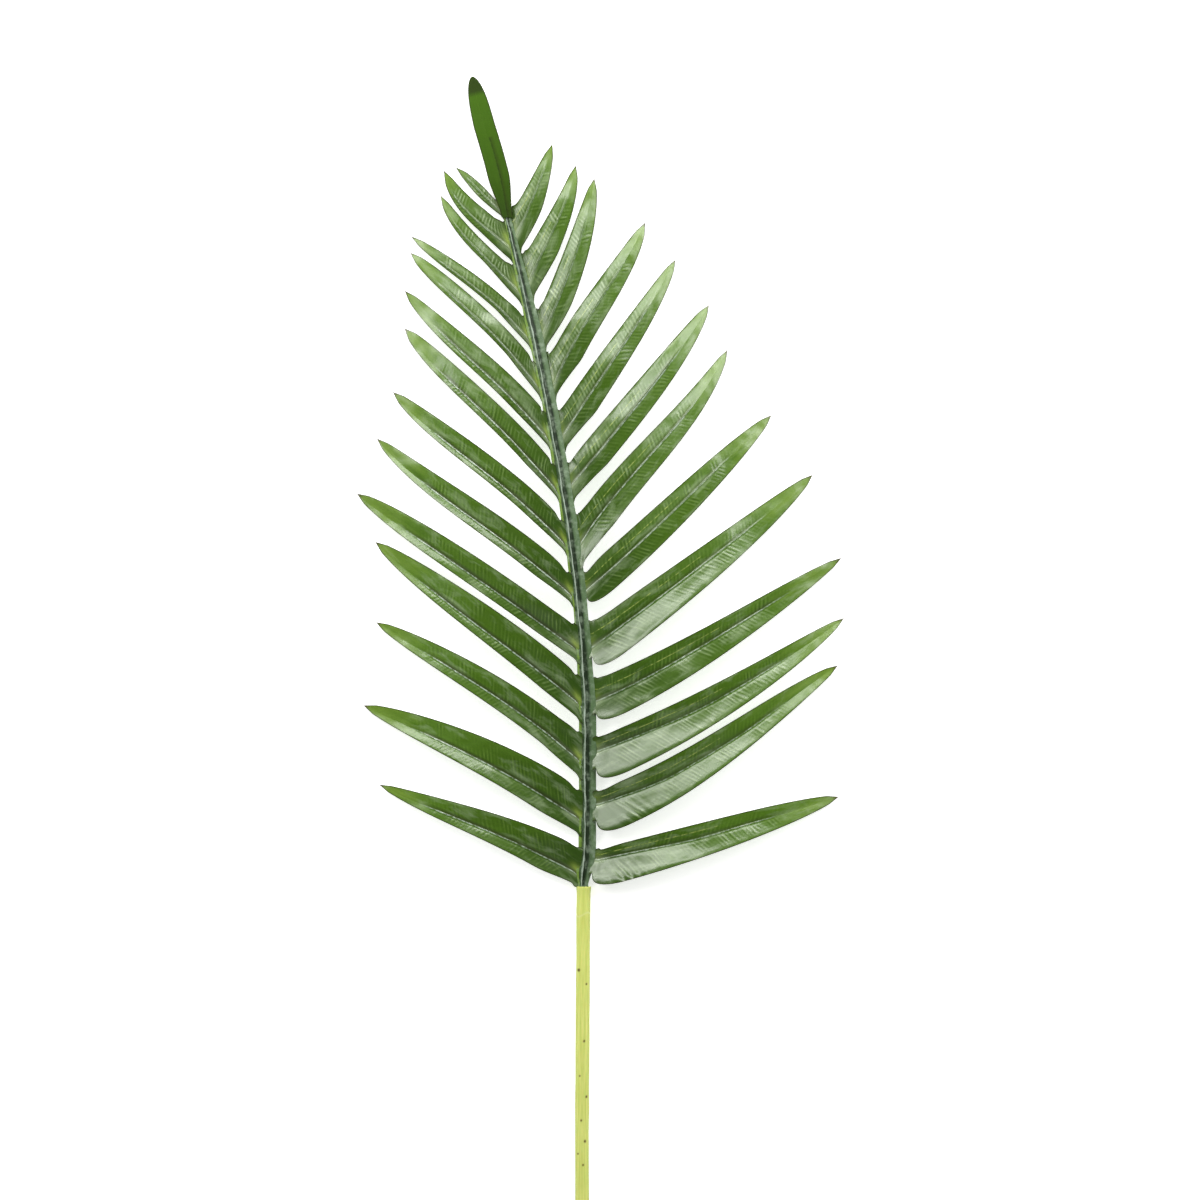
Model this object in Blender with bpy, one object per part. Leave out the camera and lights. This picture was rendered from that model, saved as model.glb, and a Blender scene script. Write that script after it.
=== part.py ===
"""Feather palm leaf with its stalk, cut and laid on its back on a table.

Frame: X across the leaf, Y from the stalk's cut end towards the leaf's tip, Z up
from the table.  The origin lies on the table, under the ring scar on the stalk.
Sizes below are in millimetres and degrees; meshes are made in metres.
"""
import math
from collections import namedtuple

import bmesh
import bpy
from mathutils import Vector

MM = 0.001

# Stalk: a plain round stem that lies on the table on one narrow flat.
STALK_DIAMETER = 10.0
STALK_SIDES = 16
STALK_START = -295.0
STALK_MOUTH = 20.0
COLLAR_LENGTH = 6.0
COLLAR_DIAMETER = 10.8
SOCKET_DIAMETER = 8.4
SOCKET_DEPTH = 8.0
CUT_CHAMFER = 0.6
STALK_SWAY = [(STALK_START, -0.6), (-160.0, -1.0), (0.0, 0.0), (STALK_MOUTH, 0.3)]

# Midrib: it stands in the stalk's socket, bows over the table and leans to the left.
MIDRIB_START = 14.0
MIDRIB_END = 512.0
MIDRIB_STEP = 12.0
MIDRIB_ARCH = 14.0
MIDRIB_GROOVE = 0.16
MIDRIB_OFFSET = 3.0
LEAN_START = 140.0
LEAN_END = 503.0
LEAN = 58.2
LEAN_POWER = 1.6
MIDRIB_HALF_WIDTH = [
    (MIDRIB_START, 3.4), (STALK_MOUTH + 2.0, 3.6), (32.0, 6.2), (165.0, 6.2),
    (190.0, 5.6), (430.0, 5.2), (470.0, 3.8), (503.0, 2.4), (MIDRIB_END, 1.6),
]
MIDRIB_THICKNESS = [
    (MIDRIB_START, 7.0), (300.0, 5.4), (470.0, 3.2), (MIDRIB_END, 1.6),
]

# Leaflets: thin folded blades, each rooted along the midrib's side.
FIT_GAP = 0.3
BLADE_THICKNESS = 1.0
BLADE_TIP_THICKNESS = 0.6
TIP_WIDTH = 0.8
ROOT_STEPS = 4
BLADE_STEPS = 9
ROOT_REACH = 20.0
LOBE_REACH = 18.0
LOBED_ANGLE = 45.0
SWELL_REACH = 30.0
POINT_REACH = 8.0
LONG_LEAFLET = 200.0
LONG_LIFT = 10.0
ROOT_RAISE = 0.2

Leaflet = namedtuple(
    "Leaflet", "station length angle width taper above below bow hook fold tip_height")

# station: where the blade's middle line meets the midrib.  angle: above square to the
# stalk.  taper: 1 narrows all the way, 4 stays wide until near the tip.  above and below:
# how far the joint on the midrib runs up and down from the station.  bow and hook: how
# far the blade bends up (+) or down (-) from its chord, in its first and its last half.
# fold: edges above (+) or below (-) the crease.
RIGHT_LEAFLETS = [
    Leaflet(32.1, 184, 16.5, 27, 2.1, 14.5, 2.7, -1, -0.5, 20, 0),
    Leaflet(72.3, 204, 31.5, 32, 1.5, 15.8, 4, -6.5, -1, 20, 3),
    Leaflet(110, 206, 30, 31.5, 1.5, 17, 4.7, -4, -3.5, 20, 5),
    Leaflet(152.1, 205, 30.5, 31, 1.3, 17.3, 7.1, -4, -1.5, 18, 0),
    Leaflet(189.7, 203, 38.5, 31, 1.7, 20.4, 4.2, -1, -2, 18, 3),
    Leaflet(232.4, 184, 43.5, 24.5, 2.3, 12.4, 3.6, -1.5, -0.5, 14, 5),
    Leaflet(265.6, 176, 53, 24.5, 2.2, 20.6, 13.6, 3, -5, -12, 0),
    Leaflet(309.1, 163, 52.5, 22.5, 2.8, 14.2, 11.3, -0.5, -2.5, -14, 3),
    Leaflet(343.6, 151, 57.5, 22, 2.2, 17.5, 9.4, 0.5, -2, -14, 5),
    Leaflet(378.7, 136, 61, 21.5, 2.7, 24.4, 7.8, 3.5, -2, -14, 0),
    Leaflet(415.2, 120, 72, 20, 2.5, 18.5, 8.9, -2, -3, -14, 3),
    Leaflet(454, 91, 68.5, 23, 1.4, 20.2, 11, 0, -3, -14, 4),
    Leaflet(488, 71, 68.5, 23, 1, 18.4, 11, -1, -1, -14, 2),
]
LEFT_LEAFLETS = [
    Leaflet(32.9, 154, 23, 30, 1, 14.5, 11.5, 3.5, 0, 10, 3),
    Leaflet(72.9, 173, 26.5, 30.5, 1.8, 15.6, 14.9, 4.5, 2.5, 10, 0),
    Leaflet(115.2, 174, 33, 22.5, 2.4, 15.1, 15.6, 4, 2, 10, 3),
    Leaflet(155.7, 184, 37.5, 25, 2.6, 15.5, 15.3, 2.5, 0, 8, 5),
    Leaflet(194.3, 191, 34.5, 20, 4.2, 13.6, 12, 1.5, 0.5, 8, 0),
    Leaflet(233.2, 177, 38, 19, 3.4, 11.4, 10.1, 3, -2.5, 8, 3),
    Leaflet(270.4, 162, 40.5, 16.5, 4.4, 11.4, 10.7, 4, -1, -8, 5),
    Leaflet(308.5, 157, 46, 16, 5.8, 13.8, 10.8, 3.5, -1, -12, 0),
    Leaflet(345.9, 145, 45, 16, 3.8, 14.3, 11.8, 3.5, -1.5, -14, 3),
    Leaflet(384.6, 129, 45, 12.5, 5.5, 11.1, 13.9, 3.5, 0.5, -14, 5),
    Leaflet(419, 108, 39.5, 10.5, 3.7, 9.9, 12, 3, 0.5, -14, 0),
    Leaflet(454.9, 83, 48.5, 10.5, 4.2, 11.1, 15.5, -1.5, -3.5, -12, 3),
    Leaflet(485.1, 68, 47, 15, 2.4, 12, 16, -2, -4, -12, 3),
    Leaflet(506, 46, 43, 9, 2.2, 5, 5, -1, 0.5, -6, 0),
]

# End leaflet: a smooth blade in line with the midrib's tip, blunt at its point.
END_START = 501.0
END_LENGTH = 105.0
END_LEAN = 14.0
END_WIDTH = 15.5
END_TAPER = 8.0
END_ROOT_WIDTH = 8.0
END_ROOT_REACH = 0.3
END_BOW = 1.2
END_BOW_REACH = 0.65
END_FOLD = 4.0

DARK_GREEN = (0.045, 0.115, 0.022, 1.0)
GREY_GREEN = (0.035, 0.085, 0.045, 1.0)
STALK_GREEN = (0.50, 0.60, 0.13, 1.0)
END_GREEN = (0.075, 0.18, 0.03, 1.0)


def clear_scene():
    """Remove whatever the scene holds."""
    for item in list(bpy.data.objects):
        bpy.data.objects.remove(item, do_unlink=True)


def finish(name, colour, roughness):
    """A plain, non-metallic surface."""
    material = bpy.data.materials.new(name)
    material.use_nodes = True
    shader = material.node_tree.nodes["Principled BSDF"]
    shader.inputs["Base Color"].default_value = colour
    shader.inputs["Roughness"].default_value = roughness
    shader.inputs["Metallic"].default_value = 0.0
    return material


def smoothstep(value):
    """Ease from 0 to 1 as value goes from 0 to 1."""
    value = min(max(value, 0.0), 1.0)
    return value * value * (3.0 - 2.0 * value)


def mix(start, end, share):
    """The value that lies share of the way from start to end."""
    return start + (end - start) * share


def along(stops, place):
    """Read a value off straight runs between (place, value) stops."""
    for (place_a, value_a), (place_b, value_b) in zip(stops, stops[1:]):
        if place <= place_b:
            share = max((place - place_a) / (place_b - place_a), 0.0)
            return mix(value_a, value_b, share)
    return stops[-1][1]


def loft(name, rings, material):
    """Join equal closed rings, given in millimetres, into one capped solid."""
    count = len(rings[0])
    points = [Vector(point) * MM for ring in rings for point in ring]
    faces = []
    for ring in range(len(rings) - 1):
        for side in range(count):
            after = (side + 1) % count
            faces.append((ring * count + side, ring * count + after,
                          (ring + 1) * count + after, (ring + 1) * count + side))
    last = (len(rings) - 1) * count
    faces.append(tuple(reversed(range(count))))
    faces.append(tuple(last + side for side in range(count)))
    mesh = bpy.data.meshes.new(name)
    mesh.from_pydata(points, [], faces)
    shell = bmesh.new()
    shell.from_mesh(mesh)
    bmesh.ops.recalc_face_normals(shell, faces=shell.faces)
    shell.to_mesh(mesh)
    shell.free()
    mesh.materials.append(material)
    mesh.shade_smooth()
    mesh.set_sharp_from_angle(angle=math.radians(40.0))
    piece = bpy.data.objects.new(name, mesh)
    bpy.context.scene.collection.objects.link(piece)
    return piece


# ---------------------------------------------------------------- stalk

def stalk_ring(place, diameter):
    """A ring square to the stalk, with a flat side down and its centre on the axis."""
    height = STALK_DIAMETER / 2.0
    radius = diameter / 2.0 / math.cos(math.pi / STALK_SIDES)
    middle = along(STALK_SWAY, place)
    ring = []
    for side in range(STALK_SIDES):
        turn = 2.0 * math.pi * (side + 0.5) / STALK_SIDES
        up = height - radius * math.cos(turn)
        ring.append((middle + radius * math.sin(turn), place, max(up, 0.0)))
    return ring


def build_stalk(material):
    """The stalk, from its cut end to the mouth that takes the midrib's foot."""
    cut = STALK_DIAMETER - 2.0 * CUT_CHAMFER
    rings = [
        stalk_ring(STALK_START, cut),
        stalk_ring(STALK_START + CUT_CHAMFER, STALK_DIAMETER),
        stalk_ring(-160.0, STALK_DIAMETER),
        stalk_ring(-60.0, STALK_DIAMETER),
        stalk_ring(STALK_MOUTH - COLLAR_LENGTH, STALK_DIAMETER),
        stalk_ring(STALK_MOUTH, COLLAR_DIAMETER),
        stalk_ring(STALK_MOUTH, SOCKET_DIAMETER),
        stalk_ring(STALK_MOUTH - SOCKET_DEPTH, SOCKET_DIAMETER),
    ]
    return loft("stalk", rings, material)


# ---------------------------------------------------------------- midrib

def midrib_across(place):
    """Where the midrib's middle lies across the leaf."""
    offset = MIDRIB_OFFSET * smoothstep((place - STALK_MOUTH) / 30.0)
    reach = max(place - LEAN_START, 0.0) / (LEAN_END - LEAN_START)
    return offset - LEAN * reach ** LEAN_POWER


def midrib_height(place):
    """Height of the midrib's middle above the table."""
    share = (place - STALK_MOUTH) / (MIDRIB_END - STALK_MOUTH)
    share = min(max(share, 0.0), 1.0)
    return STALK_DIAMETER / 2.0 + MIDRIB_ARCH * 0.5 * (1.0 - math.cos(2.0 * math.pi * share))


def midrib_side(place, side):
    """Where the midrib's side face lies across the leaf; side is -1 left, +1 right."""
    return midrib_across(place) + side * along(MIDRIB_HALF_WIDTH, place)


def midrib_ring(place):
    """A flat-sided ring whose top has a groove between two ridges."""
    middle = midrib_across(place)
    half = along(MIDRIB_HALF_WIDTH, place)
    height = midrib_height(place)
    thick = along(MIDRIB_THICKNESS, place)
    outline = [
        (0.0, -0.50), (0.55, -0.46), (1.0, -0.18), (1.0, 0.22),
        (0.62, 0.50), (0.0, 0.50 - MIDRIB_GROOVE), (-0.62, 0.50),
        (-1.0, 0.22), (-1.0, -0.18), (-0.55, -0.46),
    ]
    return [(middle + half * across, place, height + thick * up) for across, up in outline]


def build_midrib(material):
    """The midrib, with its foot in the stalk's socket."""
    steps = round((MIDRIB_END - STALK_MOUTH) / MIDRIB_STEP)
    places = [MIDRIB_START]
    for step in range(steps + 1):
        places.append(mix(STALK_MOUTH + 2.0, MIDRIB_END, step / steps))
    return loft("midrib", [midrib_ring(place) for place in places], material)


# ---------------------------------------------------------------- leaflets

def blade_section(top_low, top_crease, top_high, thickness):
    """The six points of a folded blade's section, its underside straight below."""
    top = [top_low, top_crease, top_high]
    under = [(x, y, max(z - thickness, 0.0)) for x, y, z in reversed(top)]
    return top + under


def blade_shares(length):
    """Where the sections of a blade lie: close at the root, and closer again to the tip."""
    root_share = min(ROOT_REACH / length, 0.25)
    shares = [root_share * step / ROOT_STEPS for step in range(ROOT_STEPS)]
    for step in range(BLADE_STEPS + 1):
        run = 1.0 - (1.0 - step / BLADE_STEPS) ** 1.4
        shares.append(mix(root_share, 1.0, run))
    return shares


def blade_bend(leaflet, share):
    """How far the blade's middle lies above the straight line from its root to its tip."""
    near = leaflet.bow * share * (1.0 - share) ** 2 * 6.75
    far = leaflet.hook * share ** 2 * (1.0 - share) * 6.75
    return near + far


def blade_halves(leaflet, side, reach, run, lean):
    """Widths of the blade above and below its middle line, square to that line."""
    share = reach / leaflet.length
    point = min((1.0 - share) * leaflet.length / POINT_REACH, 1.0) ** 0.35
    half = max(leaflet.width * (1.0 - share ** leaflet.taper) ** 0.6 * point, TIP_WIDTH) / 2.0
    swell = smoothstep(reach / max(run, SWELL_REACH))
    upper = mix(leaflet.above * lean, half, swell)
    if side > 0 and leaflet.angle < LOBED_ANGLE:
        swell = math.sqrt(1.0 - (1.0 - min(reach / LOBE_REACH, 1.0)) ** 2)
    return upper, mix(leaflet.below * lean, half, swell)


def leaflet_rings(leaflet, side):
    """Sections of one leaflet, slanted along the midrib at the root, square to it later."""
    rise = math.radians(leaflet.angle)
    start = Vector((midrib_side(leaflet.station, side) + side * FIT_GAP, leaflet.station))
    forward = Vector((side * math.cos(rise), math.sin(rise)))
    upward = Vector((-side * forward.y, side * forward.x))
    slope = (midrib_side(leaflet.station + 1.0, side)
             - midrib_side(leaflet.station - 1.0, side)) / 2.0
    joint = Vector((slope, 1.0)).normalized()
    lean = joint.dot(upward)
    slant = joint.dot(forward) / lean
    run = max(ROOT_REACH, 1.7 * leaflet.width / 2.0 * slant)
    root_z = midrib_height(leaflet.station) + ROOT_RAISE
    fold = math.tan(math.radians(leaflet.fold))
    rings = []
    for share in blade_shares(leaflet.length):
        reach = leaflet.length * share
        middle = start + forward * reach + upward * blade_bend(leaflet, share)
        turn = upward + forward * slant * (1.0 - smoothstep(reach / run))
        upper, lower = blade_halves(leaflet, side, reach, run, lean)
        thickness = mix(BLADE_THICKNESS, BLADE_TIP_THICKNESS, share)
        tip_z = leaflet.tip_height + BLADE_TIP_THICKNESS
        lift = LONG_LIFT * (leaflet.length / LONG_LEAFLET) ** 2 * math.sin(math.pi * share)
        crease_z = mix(root_z, tip_z, share) + lift
        bent = fold * smoothstep(share / 0.3)
        top = []
        for across in (-lower, 0.0, upper):
            place = middle + turn * across
            limit = midrib_side(place.y, side) + side * FIT_GAP
            x = max(place.x, limit) if side > 0 else min(place.x, limit)
            top.append((x, place.y, crease_z + bent * abs(across)))
        rings.append(blade_section(*top, thickness))
    return rings


def build_leaflets(material):
    """Every side leaflet, numbered from the stalk up."""
    for word, side, leaflets in (("left", -1, LEFT_LEAFLETS), ("right", 1, RIGHT_LEAFLETS)):
        for number, leaflet in enumerate(leaflets, start=1):
            loft(f"leaflet_{word}_{number:02d}", leaflet_rings(leaflet, side), material)


def build_end_leaflet(material):
    """The end leaflet, which lies on the midrib's thin end and drops to the table."""
    lean = math.radians(END_LEAN)
    root_x = midrib_across(END_START)
    midrib_top = midrib_height(END_START) + along(MIDRIB_THICKNESS, END_START) / 2.0
    root_z = midrib_top + FIT_GAP + BLADE_THICKNESS
    fold = math.tan(math.radians(END_FOLD))
    rings = []
    for share in blade_shares(END_LENGTH):
        swell = smoothstep(share / END_ROOT_REACH)
        full = mix(END_ROOT_WIDTH, END_WIDTH, swell)
        half = max(full * (1.0 - share ** END_TAPER) ** 0.6, TIP_WIDTH) / 2.0
        reach = END_LENGTH * share
        bow = END_BOW * math.sin(math.pi * min(share / END_BOW_REACH, 1.0))
        middle = (root_x - math.sin(lean) * reach + math.cos(lean) * bow,
                  END_START + math.cos(lean) * reach + math.sin(lean) * bow)
        turn = lean * smoothstep(share / 0.2)
        across = (math.cos(turn), math.sin(turn))
        crease_z = mix(root_z, BLADE_TIP_THICKNESS, share) + 2.0 * math.sin(math.pi * share)
        edge_z = crease_z + fold * half * swell
        top = [(middle[0] + across[0] * place, middle[1] + across[1] * place, z)
               for place, z in ((half, edge_z), (0.0, crease_z), (-half, edge_z))]
        rings.append(blade_section(*top, mix(BLADE_THICKNESS, BLADE_TIP_THICKNESS, share)))
    return loft("leaflet_end", rings, material)


def main():
    """Build the whole leaf."""
    clear_scene()
    build_stalk(finish("stalk_skin", STALK_GREEN, 0.5))
    build_midrib(finish("midrib_skin", GREY_GREEN, 0.45))
    build_leaflets(finish("leaflet_skin", DARK_GREEN, 0.42))
    build_end_leaflet(finish("end_leaflet_skin", END_GREEN, 0.42))


main()
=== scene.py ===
"""Looks of a feather palm leaf, cut and laid on its back on a pale table.

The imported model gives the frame: X across the leaf, Y from the stalk's cut end to the
leaf's tip, Z up from the table.  Shapes are worked out in millimetres and degrees along
the same lines as the solid leaf's, then written to the meshes in metres.
"""

import logging
import math
from dataclasses import dataclass, field
from enum import Enum
from typing import Any

import bpy
import numpy as np
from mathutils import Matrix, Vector


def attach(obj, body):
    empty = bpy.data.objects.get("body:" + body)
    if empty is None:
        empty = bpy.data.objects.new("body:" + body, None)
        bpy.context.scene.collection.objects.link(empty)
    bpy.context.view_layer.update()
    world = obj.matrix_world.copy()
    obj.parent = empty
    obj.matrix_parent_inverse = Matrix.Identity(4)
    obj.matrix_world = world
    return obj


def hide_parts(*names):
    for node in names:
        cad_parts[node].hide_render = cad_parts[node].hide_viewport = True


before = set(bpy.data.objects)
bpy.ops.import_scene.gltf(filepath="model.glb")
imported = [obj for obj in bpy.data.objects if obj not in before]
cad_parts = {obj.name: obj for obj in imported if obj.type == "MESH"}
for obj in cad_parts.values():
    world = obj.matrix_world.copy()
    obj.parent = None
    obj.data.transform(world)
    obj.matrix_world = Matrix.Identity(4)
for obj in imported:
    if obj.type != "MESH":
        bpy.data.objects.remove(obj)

MM = 0.001
BODY = "root"
LOG = logging.getLogger("palm_leaf")


class Side(Enum):
    """Which side of the midrib a leaflet grows on, as the sign of X there."""

    LEFT = -1
    RIGHT = 1


# ---------------------------------------------------------------- helpers

def smooth(value: Any) -> Any:
    """Ease from 0 to 1 as value goes from 0 to 1."""
    clear = np.clip(value, 0.0, 1.0)
    return clear * clear * (3.0 - 2.0 * clear)


def mix(start: Any, end: Any, share: Any) -> Any:
    """The value that lies share of the way from start to end."""
    return start + (end - start) * share


def ease_through(values: tuple[float, ...], share: np.ndarray) -> np.ndarray:
    """Ease through evenly spaced values.

    Args:
        values: the values, from the root to the tip.
        share: places along the blade, from 0 to 1.

    Returns:
        The value at each place.
    """
    runs = len(values) - 1
    at = np.clip(share, 0.0, 1.0) * runs
    before = np.minimum(at.astype(int), runs - 1)
    table = np.array(values)
    return mix(table[before], table[before + 1], smooth(at - before))


def ripple(seed: int, first: np.ndarray, second: np.ndarray, wave: float) -> np.ndarray:
    """Soft random waves over a surface, of one rough wavelength.

    Args:
        seed: picks the pattern.
        first: place along one direction, in millimetres.
        second: place along the other direction, in millimetres.
        wave: the shortest wavelength, in millimetres.

    Returns:
        Heights from about -1 to 1.
    """
    draw = np.random.default_rng(seed)
    waves = 7
    total = np.zeros(np.broadcast(first, second).shape)
    for _ in range(waves):
        heading = draw.uniform(0.0, math.tau)
        rate = math.tau / (wave * draw.uniform(1.0, 2.2))
        start = draw.uniform(0.0, math.tau)
        total = total + np.sin(rate * (first * math.cos(heading) + second * math.sin(heading)) + start)
    return total / math.sqrt(waves)


def linear(code: str) -> tuple[float, float, float, float]:
    """Turn an sRGB hex colour into the linear colour that shaders use.

    Args:
        code: six hex digits after a hash.

    Returns:
        Red, green, blue and an alpha of 1.
    """
    parts = [int(code[at:at + 2], 16) / 255.0 for at in (1, 3, 5)]
    red, green, blue = (c / 12.92 if c <= 0.04045 else ((c + 0.055) / 1.055) ** 2.4
                        for c in parts)
    return red, green, blue, 1.0


def add_node(tree: bpy.types.NodeTree, kind: str, sockets: dict[Any, Any] | None = None,
             **settings: Any) -> bpy.types.Node:
    """Add a node with its settings and links.

    Args:
        tree: the node tree it goes in.
        kind: the node's type.
        sockets: for each input, a plain value or the socket that feeds it.
        settings: the node's own properties.

    Returns:
        The node.
    """
    made = tree.nodes.new(kind)
    for name, value in settings.items():
        setattr(made, name, value)
    for key, value in (sockets or {}).items():
        if isinstance(value, bpy.types.NodeSocket):
            tree.links.new(value, made.inputs[key])
        else:
            made.inputs[key].default_value = value
    return made


def new_material(name: str) -> tuple[bpy.types.Material, bpy.types.NodeTree, bpy.types.Node]:
    """Make a plain material, and give its node tree and its shader with it."""
    material = bpy.data.materials.new(name)
    material.use_nodes = True
    return material, material.node_tree, material.node_tree.nodes["Principled BSDF"]


def times(tree: bpy.types.NodeTree, first: Any, second: Any) -> bpy.types.NodeSocket:
    """Multiply two values, each a plain number or a socket."""
    return add_node(tree, "ShaderNodeMath", {0: first, 1: second}, operation="MULTIPLY").outputs[0]


def plus(tree: bpy.types.NodeTree, first: Any, second: Any) -> bpy.types.NodeSocket:
    """Add two values, each a plain number or a socket."""
    return add_node(tree, "ShaderNodeMath", {0: first, 1: second}, operation="ADD").outputs[0]


def span(tree: bpy.types.NodeTree, value: bpy.types.NodeSocket, low: float, high: float,
         start: float = 0.0, end: float = 1.0) -> bpy.types.NodeSocket:
    """Map the stretch from low to high onto the one from start to end, and hold its ends."""
    return add_node(tree, "ShaderNodeMapRange", {0: value, 1: low, 2: high, 3: start, 4: end}).outputs[0]


def lay(tree: bpy.types.NodeTree, under: Any, code: str, factor: Any) -> bpy.types.NodeSocket:
    """Lay a colour over another where factor is high.

    Args:
        tree: the node tree.
        under: the colour below.
        code: the colour on top, in hex.
        factor: how much of it covers, from 0 to 1.

    Returns:
        The colour that shows.
    """
    return add_node(tree, "ShaderNodeMix", {0: factor, 6: under, 7: linear(code)},
                    data_type="RGBA").outputs[2]


def noise(tree: bpy.types.NodeTree, place: bpy.types.NodeSocket, scale: float, detail: float,
          roughness: float, distortion: float = 0.0) -> bpy.types.NodeSocket:
    """Cloudy noise, from about 0.3 to 0.7, at a place in space."""
    return add_node(tree, "ShaderNodeTexNoise", {
        "Vector": place, "Scale": scale, "Detail": detail, "Roughness": roughness,
        "Distortion": distortion}).outputs["Fac"]


def real_place(tree: bpy.types.NodeTree) -> bpy.types.NodeSocket:
    """The place on the piece, in metres."""
    return add_node(tree, "ShaderNodeTexCoord").outputs["Object"]


def kept_place(tree: bpy.types.NodeTree, *parts: Any) -> bpy.types.NodeSocket:
    """A place made of up to three values kept on the piece."""
    return add_node(tree, "ShaderNodeCombineXYZ", dict(enumerate(parts))).outputs[0]


def kept_values(tree: bpy.types.NodeTree, *names: str) -> dict[str, bpy.types.NodeSocket]:
    """Read the numbers kept on the piece's points, by name."""
    return {name: add_node(tree, "ShaderNodeAttribute", attribute_name=name).outputs["Fac"]
            for name in names}


def blend_through(tree: bpy.types.NodeTree, value: bpy.types.NodeSocket,
                  stops: tuple[tuple[float, str], ...]) -> bpy.types.NodeSocket:
    """Blend through hex colours, each at its own stop.

    Args:
        tree: the node tree.
        value: where along the blend, from 0 to 1.
        stops: the position and the colour of each stop, in order.

    Returns:
        The colour there.
    """
    ramp = add_node(tree, "ShaderNodeValToRGB", {0: value})
    elements = ramp.color_ramp.elements
    elements[0].position, elements[0].color = stops[0][0], linear(stops[0][1])
    elements[1].position, elements[1].color = stops[-1][0], linear(stops[-1][1])
    for position, code in stops[1:-1]:
        elements.new(position).color = linear(code)
    return ramp.outputs[0]


def roughen(tree: bpy.types.NodeTree, height: bpy.types.NodeSocket, strength: float,
            depth: float) -> bpy.types.NodeSocket:
    """Fine unevenness of a surface, its depth in millimetres."""
    return add_node(tree, "ShaderNodeBump", {
        "Height": height, "Strength": strength, "Distance": depth * MM}).outputs[0]


def toned(tree: bpy.types.NodeTree, colour: bpy.types.NodeSocket,
          value: bpy.types.NodeSocket) -> bpy.types.NodeSocket:
    """Make a colour lighter or darker by a factor."""
    return add_node(tree, "ShaderNodeHueSaturation", {"Value": value, "Color": colour}).outputs[0]


def add_grid(name: str, columns: int, rows: int) -> tuple[bpy.types.Object, np.ndarray, np.ndarray]:
    """Add a flat square grid from -1 to 1, ready to be shaped.

    Args:
        name: the piece's name.
        columns: how many cells lie along X.
        rows: how many cells lie along Y.

    Returns:
        The object, and the X and the Y of each of its points.
    """
    bpy.ops.object.select_all(action="DESELECT")
    bpy.ops.mesh.primitive_grid_add(x_subdivisions=columns, y_subdivisions=rows, size=2.0)
    piece = bpy.context.object
    piece.name = name
    piece.data.name = name
    flat = np.empty(len(piece.data.vertices) * 3, np.float32)
    piece.data.vertices.foreach_get("co", flat)
    points = flat.reshape(-1, 3).astype(float)
    return piece, points[:, 0], points[:, 1]


def place_points(piece: bpy.types.Object, points: np.ndarray) -> None:
    """Move a piece's points to places given in millimetres."""
    piece.data.vertices.foreach_set("co", (points * MM).astype(np.float32).ravel())
    piece.data.update()


def keep_value(piece: bpy.types.Object, name: str, values: np.ndarray) -> None:
    """Keep one number for each point of a piece, which its material reads by name."""
    kept = piece.data.attributes.new(name, "FLOAT", "POINT")
    kept.data.foreach_set("value", np.asarray(values, np.float32).ravel())


def thicken(piece: bpy.types.Object, thickness: float) -> None:
    """Give a sheet its wall, below the face that looks up, in millimetres."""
    bpy.ops.object.select_all(action="DESELECT")
    piece.select_set(True)
    bpy.context.view_layer.objects.active = piece
    wall = piece.modifiers.new("wall", "SOLIDIFY")
    wall.thickness = thickness * MM
    wall.offset = -1.0
    bpy.ops.object.modifier_apply(modifier=wall.name)
    bpy.ops.object.shade_smooth_by_angle(angle=math.radians(50.0))


def close_tube(piece: bpy.types.Object) -> None:
    """Weld a rolled sheet along its seam, fill its ends and turn its faces outwards."""
    bpy.ops.object.select_all(action="DESELECT")
    piece.select_set(True)
    bpy.context.view_layer.objects.active = piece
    bpy.ops.object.mode_set(mode="EDIT")
    bpy.ops.mesh.select_all(action="SELECT")
    bpy.ops.mesh.remove_doubles(threshold=0.002 * MM)
    bpy.ops.mesh.fill_holes(sides=0)
    bpy.ops.mesh.select_all(action="SELECT")
    bpy.ops.mesh.normals_make_consistent(inside=False)
    bpy.ops.object.mode_set(mode="OBJECT")
    bpy.ops.object.shade_smooth_by_angle(angle=math.radians(50.0))


def hand_over(piece: bpy.types.Object, material: bpy.types.Material, node: str) -> None:
    """Dress a finished piece and let it stand for its solid.

    Args:
        piece: the finished piece.
        material: its finish.
        node: the solid that it stands for.
    """
    piece.data.materials.clear()
    piece.data.materials.append(material)
    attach(piece, BODY)
    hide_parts(node)
    LOG.info("%s: %d points", piece.name, len(piece.data.vertices))


# ---------------------------------------------------------------- finishes

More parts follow.
